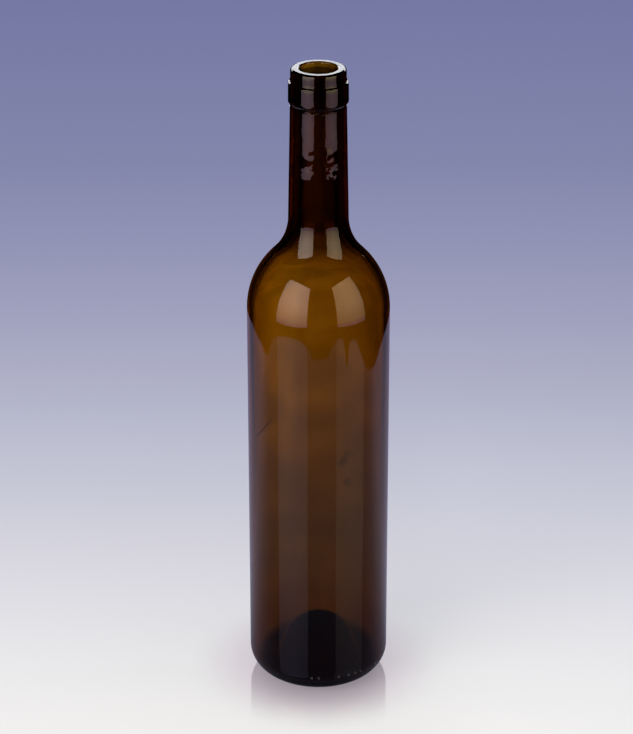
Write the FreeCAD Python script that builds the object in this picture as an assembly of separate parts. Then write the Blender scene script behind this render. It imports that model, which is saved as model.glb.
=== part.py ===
import FreeCAD, Part
import math
import os

# A 75 cl wine bottle of the high-shouldered claret form, empty and open, blown in one piece of
# glass: flat-banded cork finish, long neck, round shoulders, straight body and a deep punt.
# Millimetres, +Z up. The origin is the middle of the base, on the plane that the bottle stands on.
# The solid is one outline turned about Z: the outer wall from the punt's tip up to the lip, then
# the inner wall from the mouth down to the floor over the punt.

# Overall
height = 331.5               # base plane to the lip's top
body_d = 72.0                # straight side of the body
above_body_h = 126.0         # top of the straight side to the lip's top
shoulder_radius = 41.3       # round of the shoulder, outside
root_radius = 26.7           # hollow curve from the shoulder into the neck, outside
neck_taper = 1.07            # degrees that each side of the neck leans outwards on the way down

# Finish: the lip, the flat band below it, and the neck ring that closes the mould's upper joint
bore_d = 18.5                # mouth, for a straight cork
lip_wall = 4.5               # glass round the mouth
lip_h = 6.6                  # lip's top to the ledge above the band
ledge_w = 1.05               # the band stands out from the lip by this
ledge_fall = 0.3             # the ledge drops by this towards its edge, so that it drains
band_h = 10.2                # ledge to the band's lower edge
band_flare = 0.1             # the band is wider at its foot by this, each side
band_chamfer = 0.9           # height of the slope under the band
band_proud = 0.95            # the band stands out from the neck ring by this
neck_ring_h = 2.6            # band's lower edge to the mould's parting line
parting_step = 0.12          # the neck is wider than the ring by this, each side, at that line
lip_round = 1.5              # outer edge of the lip
mouth_round = 1.0            # inner edge of the lip
ledge_round = 0.45           # hollow and edge of the ledge
band_round = 0.6             # lower edge of the band, and the hollow under it

# Glass thickness
wall = 2.8                   # side and shoulder
heel_wall = 3.6              # side just above the floor, where the glass gathers
heel_wall_h = 60.0           # height at which the side is back to its usual thickness
heel_blend_radius = 400.0    # inner wall, where it starts to thicken
base_wall = 5.0              # punt
bore_taper = 0.9             # degrees that each side of the bore leans outwards on the way down
bore_root_radius = 30.0      # inner curve from the neck into the shoulder

# Base
heel_radius = 12.7           # round from the side to the bearing ring
bearing_w = 1.2              # flat ring that the bottle stands on
bearing_round = 1.5          # inner edge of that ring
punt_h = 23.3                # base plane to the flat tip inside the punt
punt_dome_radius = 15.0      # round head of the punt
punt_tip_d = 9.0             # flat disc at the head's middle, left by the mould's plunger
gutter_h = 5.5               # base plane to the lowest level inside, round the punt


def arc_corner(centre, radius, start, end):
    """Corner (r, z, radius) whose rounding is the arc about centre from angle start to angle end."""
    middle = (start + end) / 2
    reach = radius / math.cos((end - start) / 2)
    return (centre[0] + reach * math.cos(middle), centre[1] + reach * math.sin(middle), radius)


def shoulder_corners(side_r, side_z, round_radius, neck_top, taper, hollow_radius):
    """The two corners between a straight side and a neck: the shoulder's round and the hollow above
    it, which run into each other. The side ends at side_z, and neck_top is any point up the neck."""
    lean = math.radians(taper)
    outwards = (math.cos(lean), math.sin(lean))
    down = (math.sin(lean), -math.cos(lean))
    round_centre = (side_r - round_radius, side_z)
    reach = round_radius + hollow_radius
    start = [neck_top[i] + outwards[i] * hollow_radius - round_centre[i] for i in (0, 1)]
    along = start[0] * down[0] + start[1] * down[1]
    slack = along ** 2 - (start[0] ** 2 + start[1] ** 2 - reach ** 2)
    travel = -along - math.sqrt(slack)
    offset = [start[i] + down[i] * travel for i in (0, 1)]
    hollow_centre = (round_centre[0] + offset[0], round_centre[1] + offset[1])
    meeting = math.atan2(offset[1], offset[0])
    return [arc_corner(round_centre, round_radius, 0, meeting),
            arc_corner(hollow_centre, hollow_radius, meeting + math.pi, lean + math.pi)]


def punt_slope(foot_r, centre_z):
    """Angle from level of the punt's flank, which runs from its foot and touches the round head."""
    distance = math.hypot(foot_r, centre_z)
    to_centre = math.atan2(centre_z, foot_r)
    return to_centre + math.asin(punt_dome_radius / distance)


def rounded_edges(corners):
    """Lines and arcs through the corners (r, z, radius) of an open outline, each corner rounded."""
    points = [FreeCAD.Vector(r, 0, z) for r, z, radius in corners]
    edges = []
    last = points[0]
    for i in range(1, len(points) - 1):
        corner, radius = points[i], corners[i][2]
        back = (points[i - 1] - corner).normalize()
        ahead = (points[i + 1] - corner).normalize()
        half = back.getAngle(ahead) / 2
        if radius:
            start = corner + back * (radius / math.tan(half))
            end = corner + ahead * (radius / math.tan(half))
            inwards = (back + ahead).normalize()
            middle = corner + inwards * (radius / math.sin(half) - radius)
        else:
            start = end = corner
        if last.distanceToPoint(start) > 1e-6:
            edges.append(Part.LineSegment(last, start).toShape())
            last = start
        if radius:
            edges.append(Part.Arc(last, middle, end).toShape())
        last = end
    if last.distanceToPoint(points[-1]) > 1e-6:
        edges.append(Part.LineSegment(last, points[-1]).toShape())
    return edges


def turned(corners):
    """Solid made by turning the outline, which starts and ends on the axis, about Z."""
    edges = rounded_edges(corners)
    top = edges[0].Vertexes[0].Point
    bottom = edges[-1].Vertexes[-1].Point
    edges.append(Part.LineSegment(bottom, top).toShape())
    face = Part.Face(Part.Wire(edges))
    return face.revolve(FreeCAD.Vector(0, 0, 0), FreeCAD.Vector(0, 0, 1), 360)


# Places that more than one stretch of the outline needs
body_r = body_d / 2
side_z = height - above_body_h
lip_r = bore_d / 2 + lip_wall
band_r = lip_r + ledge_w
ring_r = band_r - band_proud
neck_r = ring_r + parting_step
ledge_z = height - lip_h
band_z = ledge_z - band_h
parting_z = band_z - neck_ring_h
punt_foot_r = body_r - heel_radius - bearing_w - bearing_round / 2
dome_z = punt_h - math.sqrt(punt_dome_radius ** 2 - (punt_tip_d / 2) ** 2)
flank = punt_slope(punt_foot_r, dome_z)
tip_angle = math.pi / 2 - math.asin(punt_tip_d / 2 / punt_dome_radius)


def base_corners():
    """Underside, from the punt's tip to the foot of the straight side."""
    dome = arc_corner((0, dome_z), punt_dome_radius, tip_angle, math.pi / 2 - flank)
    heel_centre = (body_r - heel_radius, heel_radius)
    return [(0, punt_h, 0),
            (punt_tip_d / 2, punt_h, 0),
            dome,
            (punt_foot_r, 0, bearing_round),
            arc_corner(heel_centre, heel_radius, -math.pi / 2, 0)]


def outer_neck_corners():
    """Outside, from the shoulder up to the parting line below the band."""
    return shoulder_corners(body_r, side_z, shoulder_radius,
                            (neck_r, parting_z), neck_taper, root_radius) + [
        (neck_r, parting_z, 0),
        (ring_r, parting_z, 0)]


def finish_corners():
    """The band and the lip, up and over into the mouth."""
    return [(ring_r, band_z - band_chamfer, band_round),
            (band_r + band_flare, band_z, band_round),
            (band_r, ledge_z - ledge_fall, ledge_round),
            (lip_r, ledge_z, ledge_round),
            (lip_r, height, lip_round),
            (bore_d / 2, height, mouth_round)]


def inner_corners():
    """Inside, from the foot of the bore down to the middle of the floor over the punt."""
    inner_r = body_r - wall
    shoulder, root = shoulder_corners(inner_r, side_z, shoulder_radius - wall,
                                      (bore_d / 2, height), bore_taper, bore_root_radius)
    # The gutter is one round that touches the thickening side, its lowest level and the punt's flank
    gutter_out = body_r - heel_wall
    gutter_in = punt_foot_r + base_wall / math.sin(flank) - gutter_h / math.tan(flank)
    lean = math.atan((inner_r - gutter_out) / (heel_wall_h - gutter_h))
    tangents = math.tan(flank / 2) + math.tan(math.pi / 4 - lean / 2)
    gutter_radius = (gutter_out - gutter_in) / tangents
    gutter_centre = (gutter_in + gutter_radius * math.tan(flank / 2), gutter_h + gutter_radius)
    dome_radius = punt_dome_radius + base_wall
    return [root,
            shoulder,
            (inner_r, heel_wall_h, heel_blend_radius),
            arc_corner(gutter_centre, gutter_radius, -lean, -math.pi / 2 - flank),
            arc_corner((0, dome_z), dome_radius, math.pi / 2 - flank, math.pi / 2),
            (0, dome_z + dome_radius, 0)]


outline = base_corners() + outer_neck_corners() + finish_corners() + inner_corners()
bottle = turned(outline)
filling = turned([(0, height, 0), (bore_d / 2, height, 0)] + inner_corners())
glass_density = 2.5          # g/cm3
print("glass %.0f g, brimful %.0f ml" % (bottle.Volume / 1000 * glass_density, filling.Volume / 1000))

os.makedirs("parts", exist_ok=True)
bottle.exportStep("parts/bottle.step")
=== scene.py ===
import math
import bmesh
import bpy
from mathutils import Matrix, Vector


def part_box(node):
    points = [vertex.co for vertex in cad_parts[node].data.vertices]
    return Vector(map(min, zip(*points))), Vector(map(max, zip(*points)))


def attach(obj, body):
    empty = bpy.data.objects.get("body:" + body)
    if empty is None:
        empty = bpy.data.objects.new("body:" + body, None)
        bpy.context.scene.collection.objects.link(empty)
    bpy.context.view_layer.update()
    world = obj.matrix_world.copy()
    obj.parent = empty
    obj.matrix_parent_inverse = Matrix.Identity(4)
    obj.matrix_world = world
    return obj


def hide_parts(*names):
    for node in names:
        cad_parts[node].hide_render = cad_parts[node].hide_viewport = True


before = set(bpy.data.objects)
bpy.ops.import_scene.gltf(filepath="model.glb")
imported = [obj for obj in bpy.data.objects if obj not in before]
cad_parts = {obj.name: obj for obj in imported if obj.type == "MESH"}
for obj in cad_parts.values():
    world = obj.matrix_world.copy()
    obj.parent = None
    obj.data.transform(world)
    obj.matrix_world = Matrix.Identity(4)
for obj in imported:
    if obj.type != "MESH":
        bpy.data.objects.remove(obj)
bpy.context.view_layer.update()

# Bottle: one blown piece of amber glass, empty and open. The two halves of the mould close on the
# neck ring, which leaves a fine step under the band. A plunger pushes the punt up, and the flat
# disc at its head is the plunger's tip.
low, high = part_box("bottle")
height = high.z - low.z
body_r = (high.x - low.x) / 2
above_body_h = 0.126         # top of the straight side to the lip's top
shoulder_radius = 0.0413
root_radius = 0.0267         # hollow curve from the shoulder into the neck
neck_taper = math.radians(1.07)

bore_r = 0.00925
lip_wall = 0.0045
lip_h = 0.0066
ledge_w = 0.00105            # the band stands out from the lip by this
ledge_fall = 0.0003
band_h = 0.0102
band_flare = 0.0001
band_chamfer = 0.0009
band_proud = 0.00095         # the band stands out from the neck ring by this
neck_ring_h = 0.0026
parting_step = 0.00012
lip_round = 0.0015
mouth_round = 0.001
ledge_round = 0.00045
band_round = 0.0006

wall = 0.0028
heel_wall = 0.0036
heel_wall_h = 0.060          # height at which the side is back to its usual thickness
heel_blend_radius = 0.4
base_wall = 0.005
bore_taper = math.radians(0.9)
bore_root_radius = 0.03

heel_radius = 0.0127
bearing_w = 0.0012           # flat ring that the bottle stands on
bearing_round = 0.0015
punt_h = 0.0233
punt_dome_radius = 0.015
punt_tip_r = 0.0045
gutter_h = 0.0055            # lowest level inside, round the punt

body_h = height - above_body_h
lip_r = bore_r + lip_wall
band_r = lip_r + ledge_w
ring_r = band_r - band_proud
neck_r = ring_r + parting_step
ledge_z = height - lip_h
band_z = ledge_z - band_h
parting_z = band_z - neck_ring_h
punt_foot_r = body_r - heel_radius - bearing_w - bearing_round / 2
dome_z = punt_h - math.sqrt(punt_dome_radius ** 2 - punt_tip_r ** 2)
tip_angle = math.pi / 2 - math.asin(punt_tip_r / punt_dome_radius)
flank = math.atan2(dome_z, punt_foot_r) + math.asin(punt_dome_radius / math.hypot(punt_foot_r, dome_z))


def arc_corner(centre, radius, start, end):
    """Corner (r, z, radius) whose rounding is the arc about centre from angle start to angle end."""
    middle = (start + end) / 2
    reach = radius / math.cos((end - start) / 2)
    return (centre[0] + reach * math.cos(middle), centre[1] + reach * math.sin(middle), radius)


def shoulder_corners(side_r, side_z, round_radius, neck_top, lean, hollow_radius):
    """The shoulder's round and the hollow above it, from a straight side to a leaning neck."""
    round_centre = Vector((side_r - round_radius, side_z))
    outwards = Vector((math.cos(lean), math.sin(lean)))
    down = Vector((math.sin(lean), -math.cos(lean)))
    start = Vector(neck_top) + outwards * hollow_radius - round_centre
    reach = round_radius + hollow_radius
    along = start.dot(down)
    travel = -along - math.sqrt(along ** 2 - start.length_squared + reach ** 2)
    offset = start + down * travel
    meeting = math.atan2(offset.y, offset.x)
    return [arc_corner(round_centre, round_radius, 0, meeting),
            arc_corner(round_centre + offset, hollow_radius, meeting + math.pi, lean + math.pi)]


def inside_corners():
    """From the foot of the bore down to the middle of the floor over the punt."""
    inner_r = body_r - wall
    gutter_out = body_r - heel_wall
    gutter_in = punt_foot_r + base_wall / math.sin(flank) - gutter_h / math.tan(flank)
    lean = math.atan((inner_r - gutter_out) / (heel_wall_h - gutter_h))
    radius = (gutter_out - gutter_in) / (math.tan(flank / 2) + math.tan(math.pi / 4 - lean / 2))
    gutter = (gutter_in + radius * math.tan(flank / 2), gutter_h + radius)
    floor_radius = punt_dome_radius + base_wall
    shoulder, root = shoulder_corners(inner_r, body_h, shoulder_radius - wall,
                                      (bore_r, height), bore_taper, bore_root_radius)
    return [root,
            shoulder,
            (inner_r, heel_wall_h, heel_blend_radius),
            arc_corner(gutter, radius, -lean, -math.pi / 2 - flank),
            arc_corner((0, dome_z), floor_radius, math.pi / 2 - flank, math.pi / 2),
            (0, dome_z + floor_radius, 0)]


outline = [
    (0, punt_h, 0),
    (punt_tip_r, punt_h, 0),
    arc_corner((0, dome_z), punt_dome_radius, tip_angle, math.pi / 2 - flank),
    (punt_foot_r, 0, bearing_round),
    arc_corner((body_r - heel_radius, heel_radius), heel_radius, -math.pi / 2, 0)]
outline += shoulder_corners(body_r, body_h, shoulder_radius, (neck_r, parting_z), neck_taper, root_radius)
outline += [
    (neck_r, parting_z, 0),
    (ring_r, parting_z, 0),
    (ring_r, band_z - band_chamfer, band_round),
    (band_r + band_flare, band_z, band_round),
    (band_r, ledge_z - ledge_fall, ledge_round),
    (lip_r, ledge_z, ledge_round),
    (lip_r, height, lip_round),
    (bore_r, height, mouth_round)]
outline += inside_corners()

run_step = 0.0025            # longest piece of a straight run
bend_step = 0.0015           # and of a bend
bend_turn = math.radians(8)  # most that a bend turns in one step


def draw_run(start, end):
    """Extrudes the outline's end straight on, in even steps."""
    steps = math.ceil((end - start).length / run_step)
    move = (end - start) / max(steps, 1)
    for _ in range(steps):
        bpy.ops.mesh.extrude_vertices_move(TRANSFORM_OT_translate={"value": (move.x, 0, move.y)})


def draw_bend(corner, back, ahead, radius):
    """Spins the outline's end round a corner."""
    half = back.angle(ahead) / 2
    turn = math.pi - 2 * half
    centre = corner + (back + ahead).normalized() * (radius / math.sin(half))
    steps = math.ceil(max(turn / bend_turn, turn * radius / bend_step))
    side = 1 if back.x * ahead.y > back.y * ahead.x else -1
    bpy.ops.mesh.spin(steps=steps, angle=-side * turn, center=(centre.x, 0, centre.y), axis=(0, 1, 0))


def draw_outline(corners):
    """Draws the open outline through the corners (r, z, radius) as a chain of edges."""
    points = [Vector(corner[:2]) for corner in corners]
    last = points[0]
    for i in range(1, len(points) - 1):
        corner, radius = points[i], corners[i][2]
        back = (points[i - 1] - corner).normalized()
        ahead = (points[i + 1] - corner).normalized()
        reach = radius / math.tan(back.angle(ahead) / 2)
        draw_run(last, corner + back * reach)
        if radius:
            draw_bend(corner, back, ahead, radius)
        last = corner + ahead * reach
    draw_run(last, points[-1])


around = 180                 # facets round the bottle
weld = 0.00001               # points nearer than this are one
crease = math.radians(35)    # sharper edges than this stay crisp

bpy.ops.object.select_all(action="DESELECT")
bpy.ops.mesh.primitive_plane_add(size=0.001, location=(0, 0, punt_h))
bottle = bpy.context.object
bottle.name = "bottle_glass"
bpy.ops.object.mode_set(mode="EDIT")
bpy.ops.mesh.select_all(action="SELECT")
bpy.ops.mesh.merge(type="CENTER")
draw_outline(outline)
bpy.ops.mesh.select_all(action="SELECT")
bpy.ops.mesh.spin(steps=around, angle=2 * math.pi, center=(0, 0, 0), axis=(0, 0, 1))
bpy.ops.mesh.select_all(action="SELECT")
bpy.ops.mesh.remove_doubles(threshold=weld)
bpy.ops.mesh.normals_make_consistent(inside=False)

# the mould's number, a row of raised dots along the heel. Until its place is applied, the bottle's
# own heights start at the punt's tip
dot_turns = (-5.7, 0.3, 17.0, 26.0, 32.6, 37.5, 56.3)   # degrees from the front towards the right
dot_r = 0.0008
dot_h = 0.00035
dot_z = 0.0107
dot_cuts = 5                 # the skin at a dot is divided by this many cuts each way
tilt = math.asin((dot_z - heel_radius) / heel_radius)
dot_out_r = body_r - heel_radius + heel_radius * math.cos(tilt)
bpy.ops.mesh.select_mode(type="FACE")
for turn in dot_turns:
    facing = Vector((math.sin(math.radians(turn)), -math.cos(math.radians(turn)), 0))
    middle = facing * dot_out_r + Vector((0, 0, dot_z - punt_h))
    outwards = facing * math.cos(tilt) + Vector((0, 0, math.sin(tilt)))
    bpy.ops.mesh.select_all(action="DESELECT")
    skin = bmesh.from_edit_mesh(bottle.data)
    for face in skin.faces:
        if (face.calc_center_median() - middle).length < 2 * dot_r:
            face.select_set(True)
    bmesh.update_edit_mesh(bottle.data)
    bpy.ops.mesh.subdivide(number_cuts=dot_cuts)
    skin = bmesh.from_edit_mesh(bottle.data)
    for vert in skin.verts:
        off = (vert.co - middle).length
        if off < dot_r:
            vert.co += outwards * dot_h * (1 - (off / dot_r) ** 2)
    bmesh.update_edit_mesh(bottle.data)
bpy.ops.mesh.select_mode(type="VERT")
bpy.ops.object.mode_set(mode="OBJECT")
bpy.ops.object.transform_apply(location=True, rotation=True, scale=True)
bpy.ops.object.shade_smooth_by_angle(angle=crease)


# The glass: most of the colour is in its thickness. Its skin is painted darker, as painted shade: most in
# the finish, at the root of the neck and in the base, a little in the neck. A painted glow lights the
# inner edge of the mouth. The surface is fire-polished, with ripples on the neck, a slow drift all
# over, the mould's seam down each side, and a little wear from handling.
def add(tree, kind, inputs=None, **settings):
    """A node of this kind with its settings. Each input takes a value or another node's output."""
    node = tree.nodes.new("ShaderNode" + kind)
    for name, value in settings.items():
        setattr(node, name, value)
    for name, value in (inputs or {}).items():
        if isinstance(value, bpy.types.NodeSocket):
            tree.links.new(value, node.inputs[name])
        else:
            node.inputs[name].default_value = value
    return node


def worked(tree, operation, first, second=0):
    """One sum on two values, each a number or a node's output. A root uses only the first."""
    return add(tree, "Math", {0: first, 1: second}, operation=operation).outputs[0]


def product(tree, first, *others):
    """The first value times each of the others."""
    for other in others:
        first = worked(tree, "MULTIPLY", first, other)
    return first


def between(tree, value, start, end, low_value, high_value):
    """Runs smoothly from low_value where the value is start to high_value where it is end."""
    ends = {0: value, 1: start, 2: end, 3: low_value, 4: high_value}
    return add(tree, "MapRange", ends, interpolation_type="SMOOTHSTEP").outputs[0]


def from_axis(tree, across, along):
    """How far the place (across, along) is from the middle."""
    squares = worked(tree, "ADD", product(tree, across, across), product(tree, along, along))
    return worked(tree, "SQRT", squares)


def cloud(tree, place, size, stretch, detail):
    """Soft random field from 0 to 1 with blobs of this size, drawn out by stretch along the height."""
    spread = add(tree, "Mapping", {"Vector": place, "Scale": (1, 1, 1 / stretch)}).outputs[0]
    grain = {"Vector": spread, "Scale": 1 / size, "Detail": detail, "Roughness": 0.5}
    return add(tree, "TexNoise", grain).outputs[0]


def graded(tree, value, reach, stops):
    """A colour that changes with the value, which goes up to reach, through stops (value, colour)."""
    node = add(tree, "ValToRGB", {0: worked(tree, "DIVIDE", value, reach)})
    elements = node.color_ramp.elements
    for i, (at, colour) in enumerate(stops):
        stop = elements[i] if i < 2 else elements.new(at / reach)
        stop.position = at / reach
        stop.color = (*colour, 1)
    return node.outputs[0]


def mixed(tree, share, one, other, blend_type="MIX"):
    """The colour one, mixed with the other, or multiplied by it, as far as share."""
    return add(tree, "MixRGB", {0: share, 1: one, 2: other}, blend_type=blend_type).outputs[0]


glass = bpy.data.materials.new("amber_glass")
glass.use_nodes = True
tree = glass.node_tree
shader = tree.nodes["Principled BSDF"]
shader.inputs["IOR"].default_value = 1.52
shader.inputs["Transmission Weight"].default_value = 1
tint = add(tree, "VolumeAbsorption", {"Color": (0.862, 0.679, 0.036, 1), "Density": 1100})
tree.links.new(tint.outputs[0], tree.nodes["Material Output"].inputs["Volume"])
place = add(tree, "TexCoord").outputs["Object"]
x, y, z = add(tree, "SeparateXYZ", {0: place}).outputs
axis_r = from_axis(tree, x, y)

# what the skin lets through, by height, which is painted shade wherever it is below one, and the zones
# that change it. A zone is where it starts and ends, and its value at each
levels = [(0.000, 0.50), (0.006, 0.70), (0.014, 0.96), (0.228, 1.0), (0.238, 0.86), (0.2405, 0.62),
          (0.243, 0.33), (0.247, 0.35), (0.262, 0.80), (0.306, 0.80), (0.315, 0.27), (0.3315, 0.40)]
punt_zone_r = (0.0295, 0.0318, 0.80, 0)
punt_zone_z = (0.030, 0.045, 1, 0)
bore_zone_r = (0.0105, 0.0120, 0.8, 0)
bore_zone_z = (0.3285, 0.3294, 1, 0)
mouth_zone_r = (0.0100, 0.0110, 1.5, 0)
mouth_zone_z = (0.3287, 0.3295, 0, 1)
streak_zone = (0.3, 0.7, 0.93, 1)
painted_shade_by_height = graded(tree, z, height, [(at, (level, level, level)) for at, level in levels])
streaks = between(tree, cloud(tree, place, size=0.012, stretch=6, detail=2), *streak_zone)
# the glass over the punt and the floor round it is darkened here: painted shade
punt_painted_shade = product(tree, between(tree, axis_r, *punt_zone_r), between(tree, z, *punt_zone_z))
# a ring at the bore's edge is darkened, painted shade, and the mouth's inner edge is brightened up to two
# and a half times, a painted glow
bore_edge_shade = product(tree, between(tree, axis_r, *bore_zone_r), between(tree, z, *bore_zone_z))
mouth_painted_glow = product(tree, between(tree, axis_r, *mouth_zone_r), between(tree, z, *mouth_zone_z))
# the mouth's painted glow less the bore edge's painted shade
finish = worked(tree, "ADD", 1, worked(tree, "SUBTRACT", mouth_painted_glow, bore_edge_shade))
clear = product(tree, streaks, worked(tree, "SUBTRACT", 1, punt_painted_shade), finish)
streaks_and_painted_light = mixed(tree, 1, painted_shade_by_height, clear, "MULTIPLY")

# the skin's relief
ripple_h = 0.0004            # height of the noise that ripples the neck; a fifth of it shows
ripple_foot = (0.268, 0.281, 0, ripple_h)
ripple_head = (0.292, 0.308, 1, 0.14)
drift_h = 0.0001
seam_h = 0.00004
seam_w = 0.0003
seam_top = (parting_z - 0.002, parting_z, 1, 0)
groove_zone = (0.00005, 0.00028, -0.00014, 0)
bore_side_r = 0.012          # nearer the axis than this is the bore's side of the wall
ripple = product(tree, cloud(tree, place, size=0.006, stretch=1.2, detail=1.5),
                 between(tree, z, *ripple_foot), between(tree, z, *ripple_head))
drift = product(tree, cloud(tree, place, size=0.03, stretch=1.5, detail=1), drift_h)
seam = product(tree, between(tree, worked(tree, "ABSOLUTE", y), 0, seam_w, seam_h, 0),
               between(tree, z, *seam_top))
off_parting = worked(tree, "ABSOLUTE", worked(tree, "SUBTRACT", z, parting_z))
groove = product(tree, between(tree, off_parting, *groove_zone),
                 worked(tree, "GREATER_THAN", axis_r, bore_side_r))
relief = ripple
for part in (drift, seam, groove):
    relief = worked(tree, "ADD", relief, part)
bump = add(tree, "Bump", {"Strength": 1, "Distance": 1, "Height": relief})
tree.links.new(bump.outputs[0], shader.inputs["Normal"])

# two finger marks on the front and a fine scratch to the left
mark_places = ((0.0134, 0.137, 0.006), (0.0150, 0.123, 0.004))   # across, height and radius
mark_blots = (0.46, 0.60, 0, 0.22)
scratch_across = (0.879, -0.4765)    # direction across the scratch, in x and z
scratch_off = 0.0950                 # and how far it passes from the origin that way
scratch_zone = (0.0001, 0.0005, 0.3, 0)
scratch_ends = ((0.140, 0.1425, 0, 1), (0.1545, 0.157, 1, 0))
grime = 2.6                          # how much the marks darken the glass
haze = 0.35                          # and how much they dull it
flat = add(tree, "CombineXYZ", {0: x, 2: z}).outputs[0]
marks = 0
for mark_x, mark_z, mark_r in mark_places:
    spot = add(tree, "VectorMath", {0: flat, 1: (mark_x, 0, mark_z)}, operation="DISTANCE")
    spot = between(tree, spot.outputs["Value"], mark_r / 2, mark_r, 1, 0)
    marks = worked(tree, "ADD", marks, spot)
blots = between(tree, cloud(tree, place, size=0.004, stretch=1, detail=2), *mark_blots)
marks = product(tree, marks, blots)
scratch = worked(tree, "ADD", product(tree, x, scratch_across[0]), product(tree, z, scratch_across[1]))
scratch = worked(tree, "ABSOLUTE", worked(tree, "ADD", scratch, scratch_off))
scratch = between(tree, scratch, *scratch_zone)
for end in scratch_ends:
    scratch = product(tree, scratch, between(tree, z, *end))
outer_wall = worked(tree, "GREATER_THAN", axis_r, body_r - wall / 2)
worn = product(tree, worked(tree, "ADD", marks, scratch), worked(tree, "LESS_THAN", y, 0), outer_wall)
clean = worked(tree, "SUBTRACT", 1, product(tree, worn, grime))
# the marks' grime over the streaks, the painted shade and the painted glow
grime_and_painted_light = mixed(tree, 1, streaks_and_painted_light, clean, "MULTIPLY")
tree.links.new(grime_and_painted_light, shader.inputs["Base Color"])

# the heel's dots are less polished than the rest, as seen from outside
dot_zone = (0.00003, 0.00012, 0, 0.5)
heel_z = worked(tree, "SUBTRACT", z, heel_radius)
heel_r = worked(tree, "SQRT", worked(tree, "SUBTRACT", heel_radius ** 2, product(tree, heel_z, heel_z)))
proud = worked(tree, "SUBTRACT", axis_r, worked(tree, "ADD", heel_r, body_r - heel_radius))
dots = product(tree, between(tree, proud, *dot_zone), worked(tree, "LESS_THAN", z, heel_radius))
dull = worked(tree, "ADD", product(tree, worn, haze), dots)
outside = worked(tree, "SUBTRACT", 1, add(tree, "NewGeometry").outputs["Backfacing"])
tree.links.new(product(tree, dull, outside), shader.inputs["Roughness"])
bottle.data.materials.clear()
bottle.data.materials.append(glass)

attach(bottle, "root")
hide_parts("bottle")

# Table: a wide pale board, with a painted pool of light, white round the bottle, that fades to a dusk
# blue far off. Polished glass shows less of it than the eye does, and close to the bottle it mirrors the
# base.
bpy.ops.object.select_all(action="DESELECT")
bpy.ops.mesh.primitive_plane_add(size=12, location=(0, 0, -0.0001))
table = bpy.context.object
table.name = "table"
bpy.ops.object.transform_apply(location=True, rotation=True, scale=True)

board = bpy.data.materials.new("pale_board")
board.use_nodes = True
tree = board.node_tree
tree.nodes.clear()
place = add(tree, "TexCoord").outputs["Object"]
x, y, _ = add(tree, "SeparateXYZ", {0: place}).outputs
round_r = from_axis(tree, x, y)
ray = add(tree, "LightPath")


def layered(tree, share, under, over):
    """One finish over another, as far as share."""
    return add(tree, "MixShader", {0: share, 1: under, 2: over}).outputs[0]


# the board's colour, by how far a place is from the whitest line, which is in front: a painted pool of light
pool_front = -0.09
pool_squash = 4              # the white pool is this many times wider than it is deep
reach = 1.3
stops = [(0.03, (0.865, 0.865, 0.865)), (0.11, (0.784, 0.792, 0.823)), (0.20, (0.694, 0.694, 0.768)),
         (0.30, (0.575, 0.588, 0.693)), (0.41, (0.474, 0.485, 0.620)), (0.54, (0.383, 0.388, 0.552)),
         (0.69, (0.304, 0.318, 0.497)), (0.86, (0.245, 0.262, 0.448)), (1.30, (0.196, 0.210, 0.408))]
away = from_axis(tree, worked(tree, "SUBTRACT", y, pool_front), worked(tree, "DIVIDE", x, pool_squash))
painted_pool = graded(tree, away, reach, stops)

# as the eye sees it: a painted reflection tint, warmer, at the foot of the bottle, painted light to the
# right, and a faint mirror
reflection_tint_zone = (0.028, 0.066, 1, 0)
painted_reflection_tint = (1, 0.88, 0.98, 1)
right_zone = (0.02, 0.10, 0, 0.085)
right_fade = (0.28, 0.45, 1, 0.1)
own_light = 0.6              # share of the board that doesn't depend on the lamps
mirror_zone = (0.028, 0.072, 0.5, 0)
pool_with_reflection_tint = mixed(tree, between(tree, round_r, *reflection_tint_zone), painted_pool, painted_reflection_tint, "MULTIPLY")
# painted light on the right of the board
painted_light_right = product(tree, between(tree, x, *right_zone), between(tree, away, *right_fade))
seen = add(tree, "Emission", {"Color": pool_with_reflection_tint, "Strength": worked(tree, "ADD", 1, painted_light_right)})
lit = add(tree, "BsdfDiffuse", {"Color": pool_with_reflection_tint})
mirror = add(tree, "BsdfGlossy", {"Roughness": 0.08})
to_eye = layered(tree, own_light, lit.outputs[0], seen.outputs[0])
to_eye = layered(tree, between(tree, round_r, *mirror_zone), to_eye, mirror.outputs[0])

# as it shows through the glass: darker near the bottle, as painted shade, and far out to the sides, a
# little uneven, and lighter and greener to the left, lighter as painted light
through = between(tree, away, 0.22, 0.55, 0.12, 0.33)
beyond = between(tree, away, 0.60, 1.00, 1, 0.8)
across = between(tree, x, -0.09, 0.09, 1.15, 0.85)
aside = between(tree, worked(tree, "ABSOLUTE", x), 0.14, 0.28, 1, 0.10)
# painted shade near the bottle
under = between(tree, round_r, 0.028, 0.06, 0.15, 1)
# painted light to the left, near the bottle
to_left = between(tree, x, -0.032, -0.016, 1, 0)
left_gain = 0.25
painted_light_left = worked(tree, "ADD", 1, product(tree, to_left, left_gain))
patchy = between(tree, cloud(tree, place, size=0.07, stretch=1, detail=1), 0.35, 0.65, 0.84, 1.16)
through = product(tree, through, beyond, across, aside, under, painted_light_left, patchy)
through_tone = mixed(tree, to_left, (1, 1.03, 1.3, 1), (1, 1.15, 1.3, 1))
through_light = add(tree, "Emission", {"Color": through_tone, "Strength": through})

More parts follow.
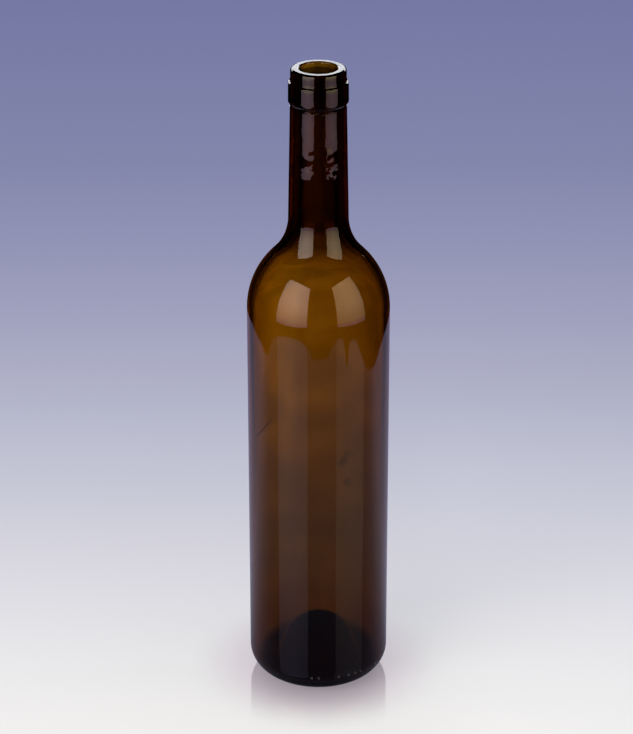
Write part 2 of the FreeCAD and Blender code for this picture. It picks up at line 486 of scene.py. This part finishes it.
# as the glass mirrors it: a painted sheen, a painted reflection that ends in a wavy line round the bottle,
# at sheen_r from it and up to sheen_swell further out. The swells go round from behind by way of the left,
# in turns
sheen_r = 0.41
sheen_swell = 0.10
swells = [(0.00, 0.80), (0.115, 0.74), (0.180, 0.61), (0.221, 0.52), (0.254, 0.40), (0.273, 0.54),
          (0.292, 0.71), (0.322, 0.79), (0.360, 0.84), (0.408, 0.83), (0.443, 0.74), (0.465, 0.64),
          (0.485, 0.52), (0.528, 0.52), (0.554, 0.67), (0.576, 0.78), (0.594, 0.84), (0.609, 0.75),
          (0.617, 0.56), (0.624, 0.35), (0.631, 0.56), (0.638, 0.72), (0.653, 0.76), (0.679, 0.64),
          (0.705, 0.39), (0.757, 0.14), (0.787, 0.22), (0.833, 0.45), (0.880, 0.57), (1.00, 0.80)]
angle = worked(tree, "ARCTAN2", x, product(tree, y, -1))
turns = worked(tree, "ADD", worked(tree, "DIVIDE", angle, 2 * math.pi), 0.5)
edge = add(tree, "FloatCurve", {"Value": turns})
curve = edge.mapping.curves[0]
for i, (at, level) in enumerate(swells):
    if 0 < i < len(swells) - 1:
        curve.points.new(at, level)
    else:
        curve.points[-1 if i else 0].location = (at, level)
edge.mapping.update()
edge_r = worked(tree, "ADD", product(tree, edge.outputs[0], sheen_swell), sheen_r)
inside = between(tree, worked(tree, "SUBTRACT", round_r, edge_r), -0.006, 0.004, 1, 0)

front = -0.06                # the sheen turns from the front's into the rear's between these
rear = 0.10
behind = product(tree, between(tree, y, front, rear, 0, 0.55), inside)
near = product(tree, between(tree, y, front, rear, 0.12, 0), inside,
               between(tree, round_r, 0.09, 0.25, 0.08, 1))
unpolished = product(tree, worked(tree, "SUBTRACT", 1, ray.outputs["Is Singular Ray"]),
                     between(tree, round_r, 0.07, 0.12, 0.75, 0))
gloss = worked(tree, "ADD", worked(tree, "ADD", behind, near), unpolished)
lilac = mixed(tree, 1, painted_pool, (0.94, 0.88, 1.1, 1), "MULTIPLY")
# the painted sheen: light that only the glass's reflections see
painted_sheen = add(tree, "Emission", {"Color": lilac, "Strength": gloss})
sheet_tone = mixed(tree, between(tree, round_r, 0.06, 0.20, 0, 1), (0.48, 0.55, 1, 1), (0.70, 0.72, 0.95, 1))
sheet = add(tree, "BsdfGlossy", {"Color": sheet_tone, "Roughness": 0.05})
sheet_share = product(tree, inside, between(tree, y, front, rear, 0.15, 0),
                      between(tree, round_r, 0.06, 0.18, 0.6, 1))
to_gloss = layered(tree, sheet_share, painted_sheen.outputs[0], sheet.outputs[0])

finish_by_ray = lit.outputs[0]
for test, look in (("Is Glossy Ray", to_gloss),
                   ("Is Transmission Ray", through_light.outputs[0]),
                   ("Is Camera Ray", to_eye)):
    finish_by_ray = layered(tree, ray.outputs[test], finish_by_ray, look)
add(tree, "OutputMaterial", {"Surface": finish_by_ray})
table.data.materials.append(board)

# Light: two tall softboxes that stand on the board, left and right of the eye, and a wide bank
# behind and above that edges the lip. A fill from the left lights the board and casts the shadow.
box_distance = 0.837
box_top = 1.01


def softbox(name, azimuth, width, bottom, top, distance, radiance, aim_z, colour):
    """A rectangular lamp that faces the bottle from azimuth, 0 towards the eye and 90 to the right."""
    lamp = bpy.data.lights.new(name, "AREA")
    lamp.shape = "RECTANGLE"
    lamp.size = width
    lamp.size_y = top - bottom
    lamp.energy = radiance * math.pi * lamp.size * lamp.size_y
    lamp.color = colour
    box = bpy.data.objects.new(name, lamp)
    bpy.context.collection.objects.link(box)
    a = math.radians(azimuth)
    box.location = (distance * math.sin(a), -distance * math.cos(a), (bottom + top) / 2)
    box.rotation_euler = (Vector((0, 0, aim_z)) - box.location).to_track_quat("-Z", "Y").to_euler()
    return box


def soften(box, edge, foot, foot_h, low, glossy):
    """Dims a softbox to edge at its sides, gives its lowest part the tone foot, and takes low off its
    lower half where glass mirrors it directly. It shows for up to glossy reflections, and not deep
    in the glass."""
    box.data.use_nodes = True
    tree = box.data.node_tree
    shape = add(tree, "NewGeometry").outputs["Parametric"]
    across, up, _ = add(tree, "SeparateXYZ", {0: shape}).outputs
    off_middle = worked(tree, "ABSOLUTE", worked(tree, "SUBTRACT", across, 0.5))
    ray = add(tree, "LightPath")
    direct = worked(tree, "COMPARE", ray.outputs["Glossy Depth"], 1)
    lower = product(tree, direct, between(tree, up, 0, 0.5, low, 0))
    strength = product(tree, between(tree, off_middle, 0, 0.5, 1, edge), worked(tree, "SUBTRACT", 1, lower))
    for bounces, most in (("Transmission Depth", 2.5), ("Glossy Depth", glossy)):
        strength = product(tree, strength, worked(tree, "LESS_THAN", ray.outputs[bounces], most))
    tone = mixed(tree, between(tree, up, foot_h * 0.8, foot_h, 0, 1), (*foot, 1), (1, 1, 1, 1))
    tree.links.new(tone, tree.nodes["Emission"].inputs["Color"])
    tree.links.new(strength, tree.nodes["Emission"].inputs["Strength"])


left = softbox("softbox_left", azimuth=-42.7, width=0.79, bottom=0, top=box_top, distance=box_distance,
               radiance=3.3, aim_z=box_top / 2, colour=(1, 0.845, 0.705))
soften(left, edge=0.76, foot=(0.76, 0.62, 0.90), foot_h=0.088, low=0.5, glossy=9)
right = softbox("softbox_right", azimuth=53, width=0.76, bottom=0, top=box_top, distance=box_distance,
                radiance=2.5, aim_z=box_top / 2, colour=(1, 0.81, 0.49))
right.visible_diffuse = False
soften(right, edge=0.8, foot=(0.80, 0.64, 1.20), foot_h=0.088, low=0.5, glossy=9)
back = softbox("back_light", azimuth=180, width=1.9, bottom=0.55, top=0.914, distance=1.25,
               radiance=3.5, aim_z=0.732, colour=(0.94, 0.95, 1))
back.visible_diffuse = False
back.visible_transmission = False
soften(back, edge=0.9, foot=(1, 1, 1), foot_h=0.1, low=0, glossy=1.5)
only_glass = bpy.data.collections.new("only_glass")
only_glass.objects.link(bottle)
back.light_linking.receiver_collection = only_glass
fill = softbox("fill_left", azimuth=-48, width=0.7, bottom=0.5, top=1.1, distance=1.1,
               radiance=2.35, aim_z=0, colour=(0.95, 0.98, 1))
fill.visible_glossy = False
fill.visible_transmission = False

# Room: even and grey where it lights the table, dark in the polish of the glass, and dusk blue to
# the eye, past the far edge of the board.
room_light = (0.70, 0.70, 0.71, 1)
room_dark = (0, 0, 0, 1)
room_dusk = (0.178, 0.191, 0.371, 1)
world = bpy.data.worlds.new("room")
bpy.context.scene.world = world
world.use_nodes = True
tree = world.node_tree
ray = add(tree, "LightPath")
room = mixed(tree, ray.outputs["Is Singular Ray"], room_light, room_dark)
room = mixed(tree, ray.outputs["Is Camera Ray"], room, room_dusk)
tree.links.new(room, tree.nodes["Background"].inputs["Color"])

# Camera: a long lens at about 1.4 m, which looks down on the bottle from the front. The small
# shifts set the bottle in the middle of the frame.
look_down = math.radians(23.287)
camera = bpy.data.cameras.new("camera")
camera.sensor_width = 36
camera.lens = 130.2
camera.shift_x = -0.0026
camera.shift_y = -0.0777
camera.clip_end = 20
eye_point = bpy.data.objects.new("camera", camera)
bpy.context.collection.objects.link(eye_point)
eye_point.location = (0, -1.2272, 0.7319)
eye_point.rotation_euler = (math.pi / 2 - look_down, 0, 0)
bpy.context.scene.camera = eye_point
bpy.context.scene.view_settings.view_transform = "Standard"
